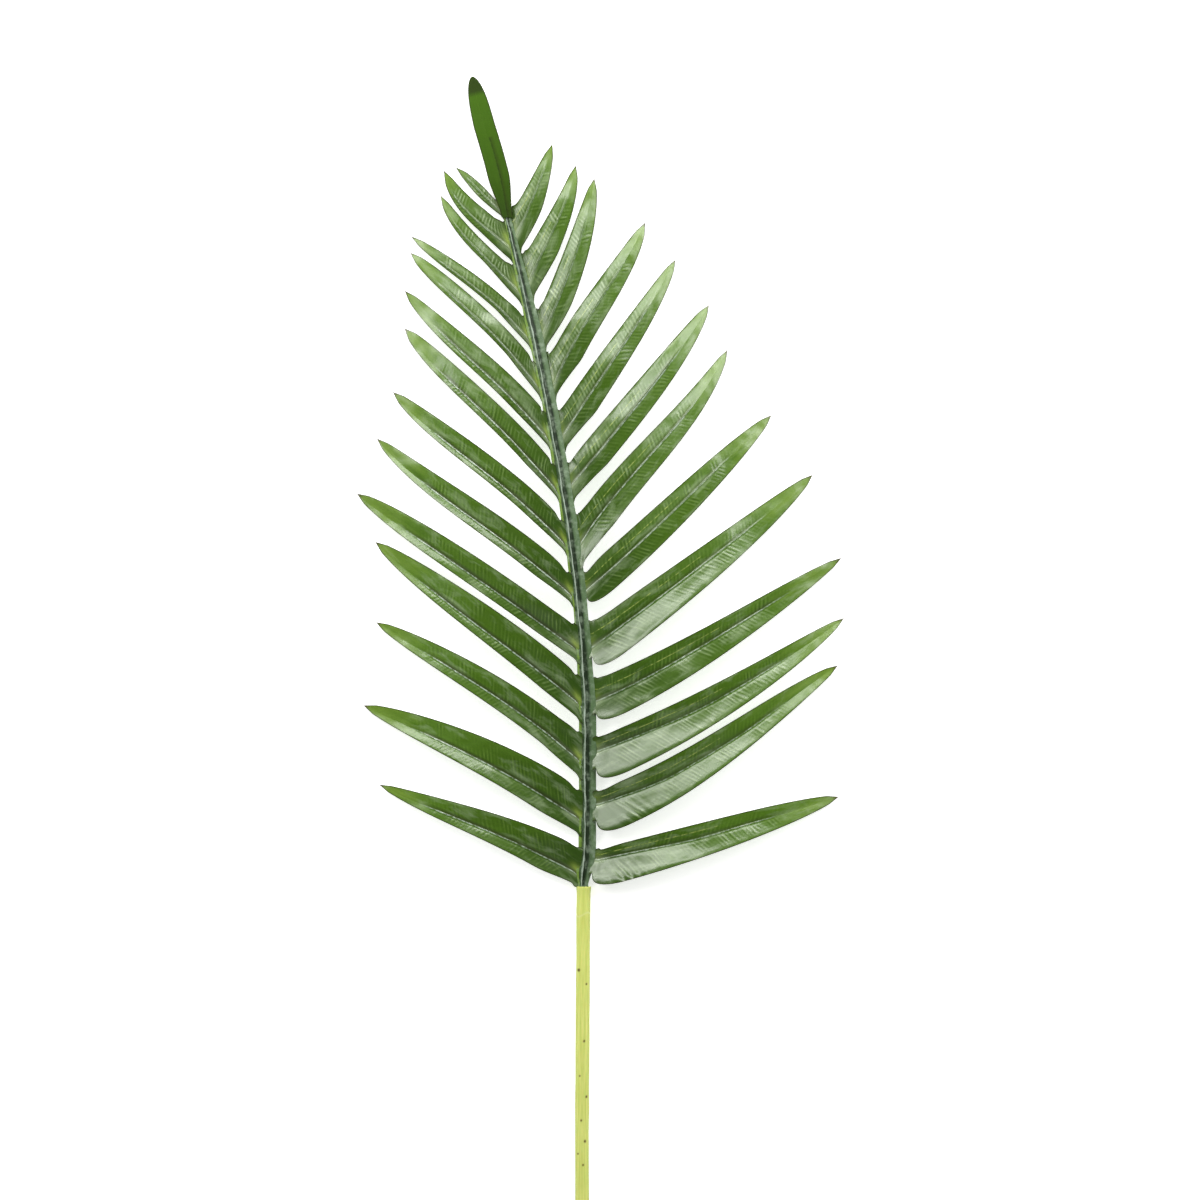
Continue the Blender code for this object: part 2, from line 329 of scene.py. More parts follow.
@dataclass(frozen=True)
class LeafSkin:
    """Waxed palm leaf, pressed into ribs: semi-gloss, so folds facing the light turn pale. Its colour also
    carries painted sheen on the ribs and in clouds, and painted shade in the furrows and above the crease.
    """

    name: str = "waxed_leaf_pressed"
    deep: str = "#2b4a04"
    fresh: str = "#3c5e06"
    young: str = "#4b7010"
    tip: str = "#6e8e2e"
    point: str = "#4a3b2a"
    dry_from: float = 0.972
    dry_blend: float = 1.0
    edge: str = "#26290f"
    vein: str = "#a9bba6"
    side_vein: str = "#9fb05a"
    # Pale wax colour, laid mostly as painted sheen.
    bloom_and_sheen: str = "#b6c8a0"
    heart: str = "#9bb24a"
    sheen: str = "#edffc4"
    roughness: float = 0.44
    specular: float = 0.42
    coat: float = 0.85
    coat_ior: float = 1.6
    coat_roughness: float = 0.24
    grain_mm: float = 0.7
    chip_mm: float = 2.6
    # Strengths of the painted shade in the furrows, the painted highlight on the rib crests and the painted
    # sheen in clouds.
    furrow_shade: float = 0.6
    crest_light: float = 0.3
    sheen_haze: float = 0.36

    def build(self) -> bpy.types.Material:
        """Make the material.

        Returns:
            The material.
        """
        material, tree, shader = new_material(self.name)
        values = kept_values(tree, "share", "along", "offset", "rim", "phase", "comb", "vein", "seed",
                             "pale", "heart", "crease_line_and_shade")
        along, offset, share = values["along"], values["offset"], values["share"]

        # Long soft streaks that follow the blade, a few millimetres wide.
        streak = noise(tree, kept_place(tree, times(tree, along, 0.035), times(tree, offset, 0.28),
                                        values["seed"]), 1.0, 4.0, 0.6)
        grain = noise(tree, real_place(tree), 1.0 / (self.grain_mm * MM), 3.0, 0.65)

        # Green along the blade: deep at the root, yellower at the tip.
        colour = blend_through(tree, plus(tree, share, span(tree, streak, 0.3, 0.7, -0.09, 0.09)), (
            (0.0, self.deep), (0.30, self.fresh), (0.72, self.young), (0.98, self.tip)))

        # Herringbone: painted shade in the thin furrows, and a yellower painted highlight on the wider ribs
        # between them.
        wave = add_node(tree, "ShaderNodeMath", {0: times(tree, values["phase"], math.tau)},
                        operation="COSINE").outputs[0]
        furrow = times(tree, span(tree, wave, 0.0, -1.0), values["comb"])
        colour = lay(tree, colour, self.deep, times(tree, furrow, self.furrow_shade))
        crest = times(tree, span(tree, wave, 0.2, 1.0), values["comb"])
        colour = lay(tree, colour, self.tip, times(tree, crest, self.crest_light))

        # Painted sheen, partly real wax, patchy, on the rib crests and at the root.
        patch = span(tree, streak, 0.35, 0.65, 0.55, 1.0)
        colour = lay(tree, colour, self.bloom_and_sheen, times(tree, patch, values["pale"]))

        # Painted sheen, thin, in clouds a few centimetres long, in the same pale colour.
        cloud = noise(tree, kept_place(tree, times(tree, along, 0.04), times(tree, offset, 0.13),
                                       plus(tree, values["seed"], 31.0)), 1.0, 5.0, 0.62, 0.4)
        colour = lay(tree, colour, self.bloom_and_sheen, span(tree, cloud, 0.5, 0.74, 0.0, self.sheen_haze))

        # Fresh yellow-green skin in the axils, where the blade leaves the midrib.
        colour = lay(tree, colour, self.heart, values["heart"])

        # The crease: a pale worn line with painted shade above it, in the dark edge colour, both gone
        # before the tip.
        line_and_shade_strength = times(tree, span(tree, share, 0.80, 0.68), values["crease_line_and_shade"])
        shade = times(tree, span(tree, offset, 3.2, 0.7), span(tree, offset, -0.5, 0.4))
        colour = lay(tree, colour, self.edge, times(tree, shade, line_and_shade_strength))
        worn = span(tree, noise(tree, real_place(tree), 1.0 / (self.chip_mm * MM), 3.0, 0.65),
                    0.42, 0.6, 0.12, 1.5)
        away = add_node(tree, "ShaderNodeMath", {0: offset}, operation="ABSOLUTE").outputs[0]
        line = times(tree, span(tree, away, 0.6, 0.2), line_and_shade_strength)
        colour = lay(tree, colour, self.vein, times(tree, line, worn))

        # The finer side vein.
        side = times(tree, span(tree, values["vein"], 0.42, 0.12), 0.6)
        colour = lay(tree, colour, self.side_vein, times(tree, side, worn))

        # A thin dark edge, and the dry point.
        colour = lay(tree, colour, self.edge, times(tree, span(tree, values["rim"], 0.95, 0.3), 0.85))
        dry_end = mix(self.dry_from, 1.0, self.dry_blend)
        colour = lay(tree, colour, self.point, span(tree, share, self.dry_from, dry_end))

        # Fine grain in the colour, the gloss and the surface.
        colour = toned(tree, colour, span(tree, grain, 0.3, 0.7, 0.86, 1.14))
        tree.links.new(colour, shader.inputs["Base Color"])
        gloss = span(tree, streak, 0.3, 0.7, self.roughness - 0.05, self.roughness + 0.08)
        tree.links.new(gloss, shader.inputs["Roughness"])
        bump = roughen(tree, grain, 0.25, 0.12)
        for name in ("Normal", "Coat Normal"):
            tree.links.new(bump, shader.inputs[name])
        for name, value in (("IOR", 1.5), ("Specular IOR Level", self.specular),
                            ("Specular Tint", linear(self.sheen)), ("Coat Weight", self.coat),
                            ("Coat IOR", self.coat_ior), ("Coat Roughness", self.coat_roughness)):
            shader.inputs[name].default_value = value
        return material


@dataclass(frozen=True)
class MidribSkin:
    """Waxed leaf stem, grooved: dark along the groove, deepened with painted shade, with a painted
    highlight along one crest and yellow-green and grey flanges.
    """

    name: str = "waxed_midrib_grooved"
    groove: str = "#1f2f1a"
    body: str = "#3d5533"
    left_flange: str = "#71903a"
    right_flange: str = "#567049"
    # Pale colour for a painted highlight along the left crest.
    ridge_highlight: str = "#b2c2af"
    scurf: str = "#94a68d"
    roughness: float = 0.42
    specular: float = 0.35
    grain_rate: float = 900.0
    blotch_rate: float = 190.0

    def build(self) -> bpy.types.Material:
        """Make the material.

        Returns:
            The material.
        """
        material, tree, shader = new_material(self.name)
        values = kept_values(tree, "place", "across")
        streak = noise(tree, kept_place(tree, times(tree, values["place"], 0.06),
                                        times(tree, values["across"], 2.2)), 1.0, 5.0, 0.65)
        grain = noise(tree, real_place(tree), self.grain_rate, 3.0, 0.6)
        blotch = noise(tree, real_place(tree), self.blotch_rate, 4.0, 0.6)

        # Bands along the rib, from its left edge to its right one, that wander a little. The groove bands
        # are the rib's own dark colour deepened with painted shade; the pale band over the left crest is a
        # painted highlight.
        wander = plus(tree, values["across"], span(tree, streak, 0.3, 0.7, -0.13, 0.13))
        colour = blend_through(tree, span(tree, wander, -1.0, 1.0), (
            (0.0, self.left_flange), (0.14, self.left_flange), (0.18, self.groove), (0.22, self.body),
            (0.30, self.body), (0.345, self.ridge_highlight), (0.375, self.ridge_highlight), (0.41, self.groove),
            (0.58, self.groove), (0.66, self.body), (0.76, self.right_flange),
            (1.0, self.right_flange)))
        colour = lay(tree, colour, self.scurf, span(tree, blotch, 0.48, 0.66, 0.0, 0.5))
        colour = toned(tree, colour, span(tree, grain, 0.3, 0.7, 0.85, 1.15))
        tree.links.new(colour, shader.inputs["Base Color"])
        tree.links.new(roughen(tree, grain, 0.3, 0.15), shader.inputs["Normal"])
        shader.inputs["Roughness"].default_value = self.roughness
        shader.inputs["Specular IOR Level"].default_value = self.specular
        return material


@dataclass(frozen=True)
class StalkSkin:
    """Smooth fresh leaf stalk: satin yellow-green, faintly streaked, with brown specks, and painted shade
    darkening its sides.
    """

    name: str = "smooth_leaf_stalk"
    body: str = "#e0e583"
    shade: str = "#c4d165"
    # Darker colour for painted shade down the sides.
    flank_shade: str = "#95a344"
    pale: str = "#dfe39a"
    speck: str = "#5c4a1c"
    cut: str = "#d9d6a4"
    roughness: float = 0.5
    specular: float = 0.25

    def build(self) -> bpy.types.Material:
        """Make the material.

        Returns:
            The material.
        """
        material, tree, shader = new_material(self.name)
        values = kept_values(tree, "place", "turn", "speck", "scar", "cut")
        streak = noise(tree, kept_place(tree, times(tree, values["place"], 0.03),
                                        times(tree, values["turn"], 3.0)), 1.0, 4.0, 0.6)
        colour = lay(tree, linear(self.shade), self.body, span(tree, streak, 0.35, 0.65))
        # Painted shade darkens the round sides; pale scars, the cut end and brown specks are its own
        # colour.
        for code, factor in ((self.flank_shade, span(tree, values["turn"], 0.75, 1.5, 0.0, 0.75)),
                             (self.pale, values["scar"]), (self.cut, values["cut"]),
                             (self.speck, values["speck"])):
            colour = lay(tree, colour, code, factor)
        tree.links.new(colour, shader.inputs["Base Color"])
        tree.links.new(roughen(tree, streak, 0.2, 0.2), shader.inputs["Normal"])
        for name, value in (("Roughness", self.roughness), ("IOR", 1.48),
                            ("Specular IOR Level", self.specular), ("Subsurface Weight", 0.1),
                            ("Subsurface Scale", 1.5 * MM)):
            shader.inputs[name].default_value = value
        return material


@dataclass(frozen=True)
class TablePaint:
    """Matt white lacquer on a table top: pale and even, so that the leaf stands out."""

    name: str = "matt_white_lacquer"
    colour: str = "#fbfbfb"
    roughness: float = 0.9

    def build(self) -> bpy.types.Material:
        """Make the material.

        Returns:
            The material.
        """
        material, _, shader = new_material(self.name)
        shader.inputs["Base Color"].default_value = linear(self.colour)
        shader.inputs["Roughness"].default_value = self.roughness
        shader.inputs["Specular IOR Level"].default_value = 0.2
        shader.inputs["Emission Color"].default_value = linear(self.colour)
        shader.inputs["Emission Strength"].default_value = 0.65
        return material


# ---------------------------------------------------------------- midrib line

@dataclass(frozen=True)
class Midline:
    """The line that the midrib follows from the stalk to the leaf's tip."""

    mouth: float = 20.0
    start: float = 14.0
    end: float = 512.0
    rest_height: float = 5.0
    arch: float = 14.0
    offset: float = 3.0
    lean_start: float = 140.0
    lean_end: float = 503.0
    lean: float = 58.2
    lean_power: float = 1.6
    width_places: tuple[float, ...] = (14, 22, 32, 165, 190, 430, 470, 503, 512)
    half_widths: tuple[float, ...] = (3.4, 3.6, 6.2, 6.2, 5.6, 5.2, 3.8, 2.4, 1.6)
    thick_places: tuple[float, ...] = (14, 300, 470, 512)
    thicknesses: tuple[float, ...] = (7.0, 5.4, 3.2, 1.6)

    def across(self, place: Any) -> Any:
        """Where the middle lies across the leaf, at a place along it."""
        reach = np.maximum(place - self.lean_start, 0.0) / (self.lean_end - self.lean_start)
        return self.offset * smooth((place - self.mouth) / 30.0) - self.lean * reach ** self.lean_power

    def height(self, place: Any) -> Any:
        """Height of the middle above the table."""
        share = np.clip((place - self.mouth) / (self.end - self.mouth), 0.0, 1.0)
        return self.rest_height + self.arch * 0.5 * (1.0 - np.cos(math.tau * share))

    def half_width(self, place: Any) -> Any:
        """Half of the midrib's width."""
        return np.interp(place, self.width_places, self.half_widths)

    def thickness(self, place: Any) -> Any:
        """The midrib's thickness."""
        return np.interp(place, self.thick_places, self.thicknesses)

    def side(self, place: Any, side: Side) -> Any:
        """Where the side face lies across the leaf."""
        return self.across(place) + side.value * self.half_width(place)


# ---------------------------------------------------------------- leaflets

@dataclass
class Leaflet:
    """A folded blade rooted on the midrib's side, with its ribs and veins."""

    side: Side
    number: int
    station: float
    length: float
    angle: float
    width: float
    taper: float
    above: float
    below: float
    bow: float
    hook: float
    tip_height: float
    upper: tuple[float, ...]
    lower: tuple[float, ...]
    crease: tuple[float, ...] = (0.0, 0.0)
    curl: float = 0.0
    pucker: float = 0.0
    line: Midline = field(default_factory=Midline)

    step: float = 0.55
    columns: int = 40
    thickness: float = 0.5
    root_run: float = 20.0
    swell_run: float = 30.0
    lobe_run: float = 18.0
    lobed_angle: float = 45.0
    point_run: float = 8.0
    web: float = 1.4
    web_run: float = 3.0
    lip: float = 0.22
    collar_run: float = 10.0
    # Strengths of the painted sheen on the rib crests of the upper and the lower half, and of the crease's
    # pale line with the painted shade above it.
    rib_wax_and_sheen: tuple[float, float] = (0.1, 0.15)
    crease_line_and_shade: float = 0.6
    tip_width: float = 0.3
    root_raise: float = 0.2
    root_bury: float = 3.0
    long_leaflet: float = 200.0
    long_lift: float = 10.0
    rib_pitch: float = 3.1
    rib_angle: float = 58.0
    rib_height: float = 0.18
    cord_height: float = 0.32
    cord_width: float = 0.42
    trough_depth: float = 0.12
    vein_height: float = 0.07
    swell_height: float = 0.5
    dimple_height: float = 0.05

    @property
    def name(self) -> str:
        """The name of the solid that this blade stands for."""
        return f"leaflet_{self.side.name.lower()}_{self.number:02d}"

    def __post_init__(self) -> None:
        """Work out the blade's directions and how it slants where it joins the midrib."""
        side, rise = self.side.value, math.radians(self.angle)
        self.forward = (side * math.cos(rise), math.sin(rise))
        self.upward = (-side * self.forward[1], side * self.forward[0])
        slope = float(self.line.side(self.station + 1.0, self.side)
                      - self.line.side(self.station - 1.0, self.side)) / 2.0
        size = math.hypot(slope, 1.0)
        self.square = (slope * self.upward[0] + self.upward[1]) / size
        self.slant = (slope * self.forward[0] + self.forward[1]) / size / self.square
        self.run = max(self.root_run, 1.7 * self.width / 2.0 * self.slant)
        self.lobed = self.side is Side.RIGHT and self.angle < self.lobed_angle

    def widths(self, reach: np.ndarray) -> tuple[np.ndarray, np.ndarray]:
        """How wide the blade is above and below its middle line.

        Args:
            reach: distances from the midrib along the blade, in millimetres.

        Returns:
            The widths above and below, in millimetres.
        """
        share = np.clip(reach / self.length, 0.0, 1.0)
        point = np.clip((1.0 - share) * self.length / self.point_run, 0.0, 1.0) ** 0.35
        half = self.width / 2.0 * (1.0 - share ** self.taper) ** 0.6 * point
        half = np.maximum(half, self.tip_width / 2.0)
        swell = smooth(reach / max(self.run, self.swell_run))
        web = self.web * (1.0 - np.clip(reach / self.web_run, 0.0, 1.0)) ** 2
        upper = mix(self.above * self.square, half, swell) + web
        if self.lobed:
            swell = np.sqrt(1.0 - (1.0 - np.clip(reach / self.lobe_run, 0.0, 1.0)) ** 2)
            web = 0.0
        return upper, mix(self.below * self.square, half, swell) + web

    def plan(self, reach: np.ndarray, across: np.ndarray) -> tuple[np.ndarray, np.ndarray]:
        """Where the blade's points lie, seen from above.

        Args:
            reach: distances from the midrib along the blade, in millimetres.
            across: how far above the middle line they lie, in millimetres.

        Returns:
            X and Y, in millimetres.
        """
        side = self.side.value
        share = np.clip(reach / self.length, 0.0, 1.0)
        bend = (self.bow * share * (1.0 - share) ** 2
                + self.hook * share ** 2 * (1.0 - share)) * 6.75
        slant = self.slant * (1.0 - smooth(reach / self.run))
        onward = reach + slant * across
        x = self.line.side(self.station, self.side) + self.forward[0] * onward
        x = x + self.upward[0] * (bend + across)
        y = self.station + self.forward[1] * onward + self.upward[1] * (bend + across)
        limit = self.line.side(y, self.side) - side * self.root_bury
        return (np.maximum(x, limit) if side > 0 else np.minimum(x, limit)), y

    def fold(self, share: np.ndarray, out: np.ndarray, wide: np.ndarray, upper: bool) -> np.ndarray:
        """Height of one half of the blade over its crease.

        Args:
            share: places along the blade.
            out: places from the crease, 0, to the edge, 1.
            wide: the half's own width there.
            upper: whether it is the upper half.

        Returns:
            Heights in millimetres.
        """
        lean = np.tan(np.radians(ease_through(self.upper if upper else self.lower, share)))
        curl = math.tan(math.radians(self.curl)) * (1.0 - smooth(share / 0.6))
        lip = np.maximum(out - 1.0 + self.lip, 0.0) ** 2 / (2.0 * self.lip)
        rise = wide * (lean * (out - lip) + curl * (out * out - out))
        return -rise if upper else rise

    def build(self) -> bpy.types.Object:
        """Make the blade's mesh and the values that its skin reads.

        Returns:
            The finished blade.
        """
        rows = round(self.length / self.step)
        piece, flat_x, flat_y = add_grid(self.name, self.columns, rows)
        along = mix(-self.root_bury, self.length, 1.0 - (1.0 - (flat_y + 1.0) / 2.0) ** 1.1)
        share = np.clip(along / self.length, 0.0, 1.0)
        across = -flat_x * self.side.value
        blend = smooth(along / self.root_run)

        # Columns crowd towards the crease and the edges.
        out = np.abs(across)
        out = out - 0.6 * np.sin(math.tau * out) / math.tau
        upper = across >= 0.0
        wide_upper, wide_lower = self.widths(along)
        lift = ease_through(self.crease, share)
        lift = lift * np.where(lift > 0.0, wide_upper, wide_lower)
        wide = np.where(upper, wide_upper - lift, wide_lower + lift)
        offset = np.where(upper, out * wide, -out * wide)
        x, y = self.plan(along, lift + offset)
        rim = (1.0 - out) * wide
        seed = self.number + (40 if self.side is Side.LEFT else 0)

        arch = self.long_lift * (self.length / self.long_leaflet) ** 2 * np.sin(math.pi * share)
        root_z = float(self.line.height(self.station)) + self.root_raise
        z = mix(root_z, self.tip_height + 0.6, share) + arch
        z = z + np.where(upper, self.fold(share, out, wide, True), self.fold(share, out, wide, False))

        # Herringbone ribs lean towards the tip on both sides of the crease.
        wander = ripple(seed, along, offset * 0.3, 14.0)
        phase = (along - np.abs(offset) / math.tan(math.radians(self.rib_angle))) / self.rib_pitch
        phase = phase + 0.25 * wander + np.where(upper, 0.0, 0.5)
        draw = np.random.default_rng(seed)
        rib = np.clip(np.rint(phase).astype(int) + 20, 0, 199)
        strong, begin, finish = (draw.uniform(low, high, (2, 200))[upper.astype(int), rib]
                                 for low, high in ((0.15, 1.0), (0.0, 0.14), (0.5, 0.8)))
        comb = (smooth((out - begin) / 0.12) * (1.0 - smooth((out - finish) / 0.2))
                * smooth((share - 0.02) / 0.08) * (1.0 - smooth((share - 0.66) / 0.16)))
        comb = comb * strong * np.clip(0.75 + 0.5 * ripple(seed + 100, along, offset, 12.0), 0.0, 1.3)
        ribs = self.rib_height * comb * (np.cos(math.tau * phase) * 0.5 + 0.5) ** 0.7

        # The crease stands up as a thin cord that sinks before the tip.
        sinking = 1.0 - smooth((share - 0.66) / 0.14)
        cord = self.cord_height * np.exp(-(offset / self.cord_width) ** 2) * sinking
        trough = -self.trough_depth * np.exp(-((np.abs(offset) - 1.2) / 0.6) ** 2) * sinking
        vein = np.abs(offset - 0.5 * (wide_upper - lift)) + 9.0 * smooth((share - 0.5) / 0.16)
        vein = vein + (0.0 if self.side is Side.RIGHT else 9.0)
        side_vein = self.vein_height * np.exp(-(vein / 0.3) ** 2)

        # Broad waves of the blade, smaller ones on them, and fine dimples.
        swell = self.swell_height * ripple(seed + 200, along, offset * 1.6, 34.0)
        swell = swell + 0.2 * self.swell_height * ripple(seed + 400, along, offset * 1.3, 13.0)
        swell = swell * smooth(share / 0.1)
        dimple = self.dimple_height * ripple(seed + 300, along, offset, 7.0)
        gather = smooth(share / 0.03) * (1.0 - smooth((share - 0.10) / 0.16))
        pucker = (self.pucker * gather * out * np.where(upper, 0.0, 1.0)
                  * np.sin(math.tau * (along - 0.5 * np.abs(offset)) / 6.5))
        fade = smooth(rim / 1.2)
        z = z + (ribs + dimple) * fade + cord + trough + side_vein + (swell + pucker) * blend
        z = np.maximum(z, self.thickness + 0.1)
        place_points(piece, np.stack([x, y, z], axis=1))

        # Painted sheen, partly real wax, on the rib crests of each half and around the root.
        crest = np.clip((np.cos(math.tau * phase) - 0.1) / 0.8, 0.0, 1.0)
        collar = np.exp(-(along / self.collar_run) ** 2 - (offset / (0.2 * self.collar_run)) ** 2)
        collar = collar * (0.75 if self.side is Side.RIGHT else 0.5)
        pale = np.maximum(np.where(upper, *self.rib_wax_and_sheen) * comb * crest, collar)
        heart = 0.7 * np.exp(-(along / 4.5) ** 2 - ((offset - 3.0) / 3.0) ** 2)
        heart = heart * (1.0 if self.side is Side.LEFT else 0.35)
        for name, value in (("share", share), ("along", along), ("offset", offset), ("rim", rim),
                            ("phase", phase), ("comb", comb), ("vein", vein),
                            ("seed", np.full_like(share, seed * 3.7)), ("pale", pale),
                            ("heart", heart), ("crease_line_and_shade", np.full_like(share, self.crease_line_and_shade))):
            keep_value(piece, name, value)
        thicken(piece, self.thickness)
        return piece

    def dress(self, piece: bpy.types.Object, material: bpy.types.Material) -> None:
        """Give the blade its skin."""
        hand_over(piece, material, self.name)


@dataclass
class EndLeaflet:
    """The smooth blade in line with the midrib's tip."""

    start: float = 501.0
    length: float = 105.0
    lean: float = 14.0
    width: float = 15.5
    taper: float = 8.0
    root_width: float = 8.0
    root_reach: float = 0.3
    bow: float = 1.2
    bow_reach: float = 0.65
    step: float = 0.5
    columns: int = 32
    thickness: float = 0.5
    line: Midline = field(default_factory=Midline)

    def build(self) -> bpy.types.Object:
        """Make the blade's mesh and the values that its skin reads.

        Returns:
            The finished blade.
        """
        piece, flat_x, flat_y = add_grid("leaflet_end", self.columns, round(self.length / self.step))
        share = 1.0 - (1.0 - (flat_y + 1.0) / 2.0) ** 1.1
        lean = math.radians(self.lean)
        swell = smooth(share / self.root_reach)
        full = mix(self.root_width, self.width, swell)
        half = np.maximum(full * np.clip(1.0 - share ** self.taper, 0.0, 1.0) ** 0.6, 0.3) / 2.0
        out = np.abs(flat_x) - 0.6 * np.sin(math.tau * np.abs(flat_x)) / math.tau
        across = np.sign(flat_x) * out
        reach = self.length * share
        bow = self.bow * np.sin(math.pi * np.minimum(share / self.bow_reach, 1.0))
        turn = lean * smooth(share / 0.2)
        offset = across * half
        x = float(self.line.across(self.start)) - math.sin(lean) * reach + math.cos(lean) * bow
        y = self.start + math.cos(lean) * reach + math.sin(lean) * bow
        x = x + np.cos(turn) * offset
        y = y + np.sin(turn) * offset

        top = float(self.line.height(self.start)) + float(self.line.thickness(self.start)) / 2.0
        crease_z = mix(top + 1.3, 0.6, share) + 2.0 * np.sin(math.pi * share)
        fading = 1.0 - smooth((share - 0.38) / 0.2)
        z = crease_z + math.tan(math.radians(4.0)) * half * out * swell
        crease = offset - 0.12 * half
        z = z - 0.3 * np.exp(-(crease / 0.6) ** 2) * fading
        z = z + 0.12 * ripple(71, reach, offset, 16.0)
        z = np.maximum(z, self.thickness + 0.1)
        place_points(piece, np.stack([x, y, z], axis=1))
        blank = np.zeros_like(share)
        for name, value in (("share", share), ("along", reach),
                            ("offset", np.where(fading > 0.02, crease, 9.0)),
                            ("rim", (1.0 - out) * half), ("phase", blank), ("comb", blank),
                            ("vein", blank + 9.0), ("seed", blank + 11.0), ("pale", blank),
                            ("heart", blank), ("crease_line_and_shade", blank + 0.5)):
            keep_value(piece, name, value)
        thicken(piece, self.thickness)
        return piece

    def dress(self, piece: bpy.types.Object, material: bpy.types.Material) -> None:
        """Give the blade its skin."""
        hand_over(piece, material, "leaflet_end")


# ---------------------------------------------------------------- midrib and stalk

@dataclass
class Midrib:
    """The grooved rib that carries the leaflets, with thin flanges along its sides."""

    step: float = 0.8
    columns: int = 72
    line: Midline = field(default_factory=Midline)

    def build(self) -> bpy.types.Object:
        """Make the midrib's mesh and the values that its skin reads.

        Returns:
            The finished midrib.
        """
        line = self.line
        rows = round((line.end - line.start) / self.step)
        piece, flat_x, flat_y = add_grid("midrib", self.columns, rows)
        place = mix(line.start, line.end, (flat_y + 1.0) / 2.0)
        turn = flat_x * math.pi
        # The section is a flat oval; the top of it carries the ridges and the groove.
        across = np.sin(turn)
        up = np.cos(turn)
        half, thick = line.half_width(place), line.thickness(place)
        on_top = smooth(up / 0.35)
        ridge_left = np.exp(-((across + 0.28) / 0.08) ** 2)
        ridge_right = np.exp(-((across - 0.34) / 0.14) ** 2)
        groove = np.exp(-((across - 0.02) / 0.20) ** 2) + 0.5 * np.exp(-((across + 0.68) / 0.09) ** 2)
        body = np.where(up > 0.0, 0.12 + 0.30 * (1.0 - np.abs(across) ** 1.5), -0.50 * np.abs(up) ** 0.6)
        body = np.where(up > 0.0, body * np.minimum(up / 0.25, 1.0) ** 0.7, body)
        top = on_top * (0.14 * ridge_left + 0.10 * ridge_right - 0.20 * groove)
        bumps = ripple(5, place, across * 6.0, 9.0) * 0.18 * on_top
        edge = 1.0 + 0.05 * ripple(9, place, np.sign(across) * 40.0, 22.0) * np.abs(across) ** 4
        x = line.across(place) + half * across * edge
        z = line.height(place) + thick * (body + top) + bumps
        place_points(piece, np.stack([x, place, np.maximum(z, 0.02)], axis=1))
        keep_value(piece, "place", place)
        keep_value(piece, "across", across)
        close_tube(piece)
        return piece

    def dress(self, piece: bpy.types.Object, material: bpy.types.Material) -> None:
        """Give the midrib its skin."""
        hand_over(piece, material, "midrib")


